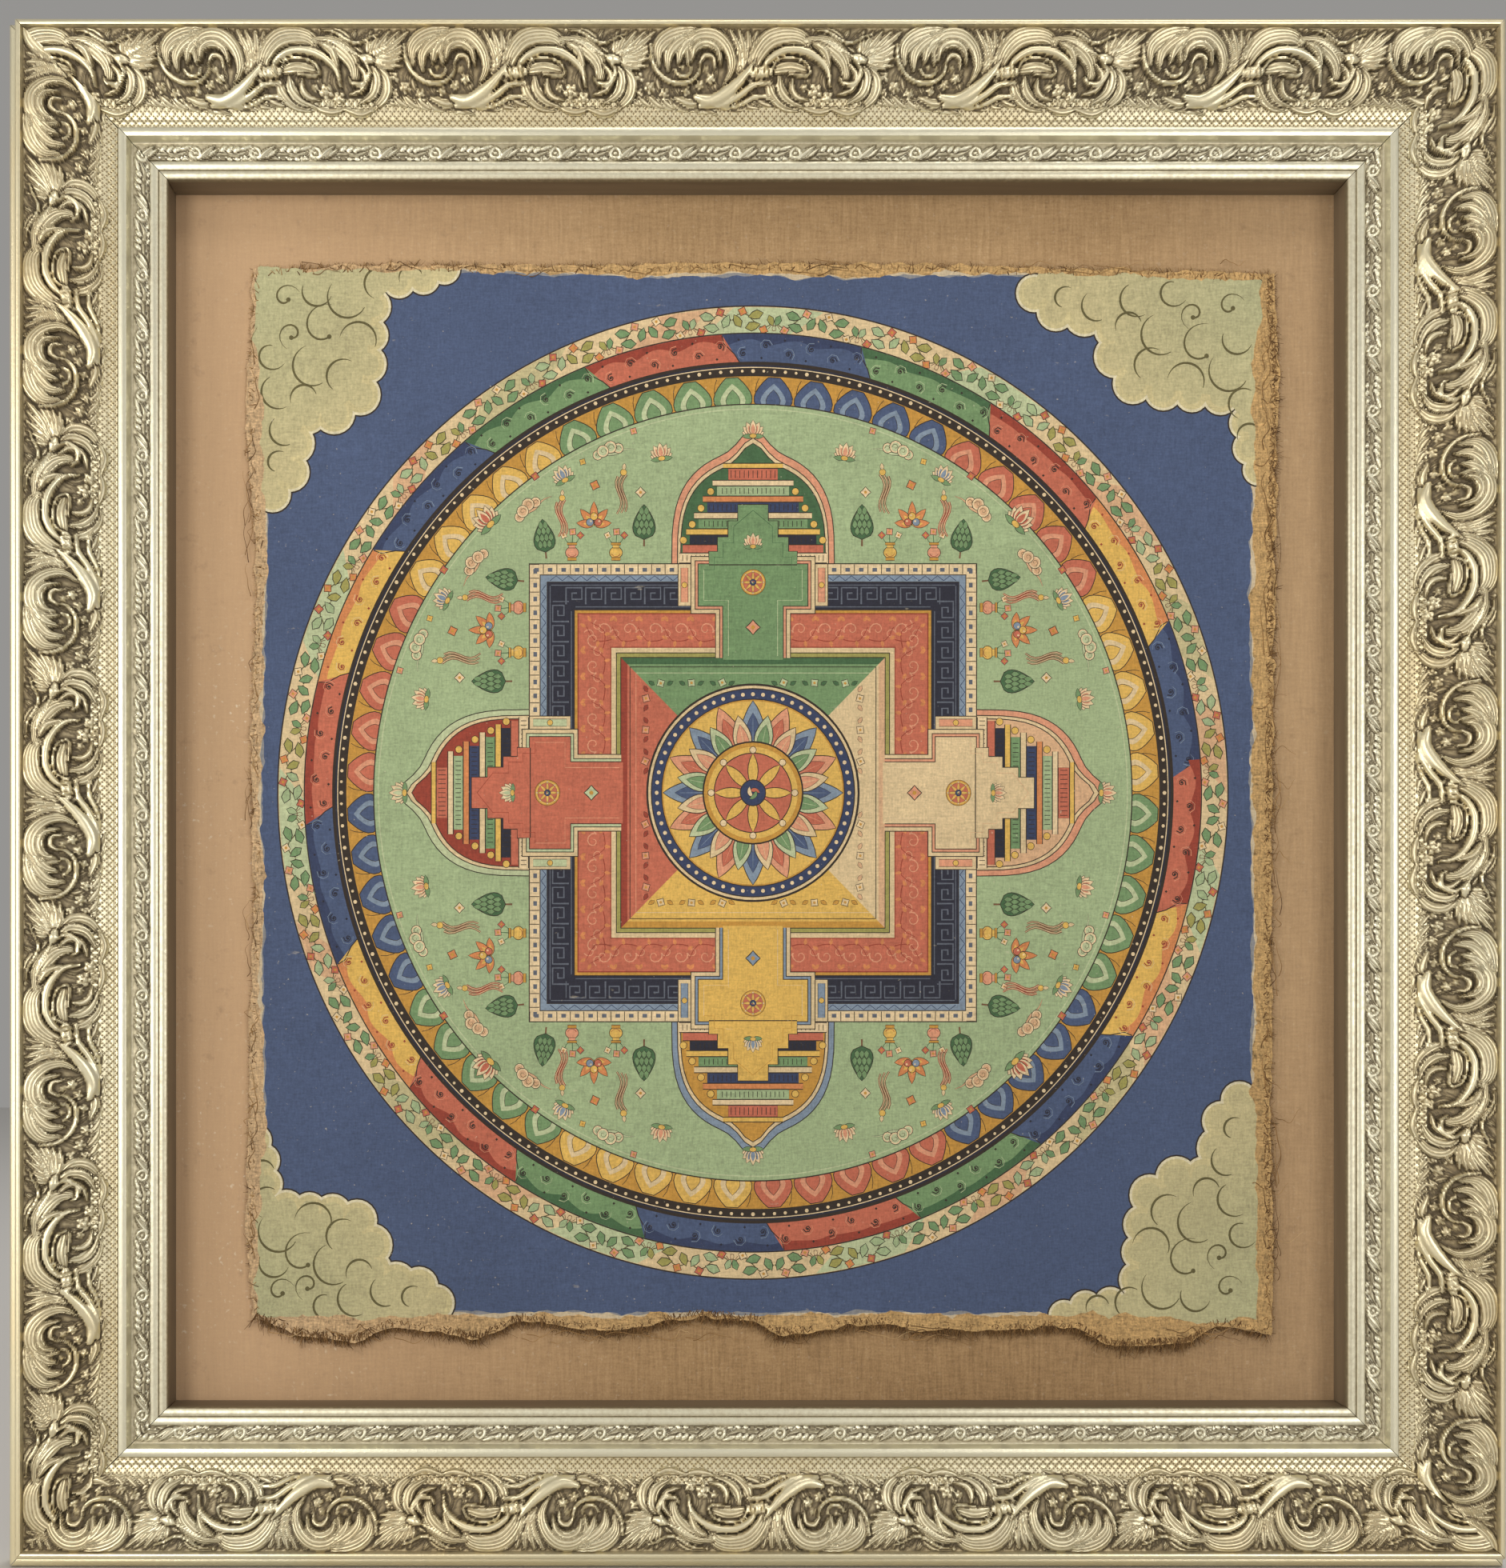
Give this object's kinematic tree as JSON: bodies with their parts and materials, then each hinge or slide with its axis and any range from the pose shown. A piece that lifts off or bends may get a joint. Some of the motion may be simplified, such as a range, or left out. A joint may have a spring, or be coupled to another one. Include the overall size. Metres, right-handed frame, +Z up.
{
  "type": "mandala thangka painting in picture frame",
  "caption": "Painted cotton mandala with torn raw edges, lying on a brown board in a deep ornate mitred picture frame.",
  "frame": {"origin": "centre of the frame's overall box", "axes": "+X to the picture's right, +Z up, -Y out of the picture towards the viewer, +Y to the wall behind"},
  "size_m": [0.833, 0.05, 0.86],
  "materials": {
    "champagne_leaf": "pale silver-gold metal leaf over moulded ornament on wood, rubbed dark in the hollows",
    "dark_spacer": "dark brown stained strip, matt",
    "brown_board": "brown slubbed covering on a flat board, matt with small pale flecks",
    "painted_cotton": "matt mineral colours on sized cotton, with raw ochre torn margins"
  },
  "bodies": {
    "root": {"frame_top": "champagne_leaf", "frame_bottom": "champagne_leaf", "frame_left": "champagne_leaf", "frame_right": "champagne_leaf", "spacer_top": "dark_spacer", "spacer_bottom": "dark_spacer", "spacer_left": "dark_spacer", "spacer_right": "dark_spacer", "mount_board": "brown_board", "thangka_cloth": "painted_cotton"}
  },
  "joints": []
}
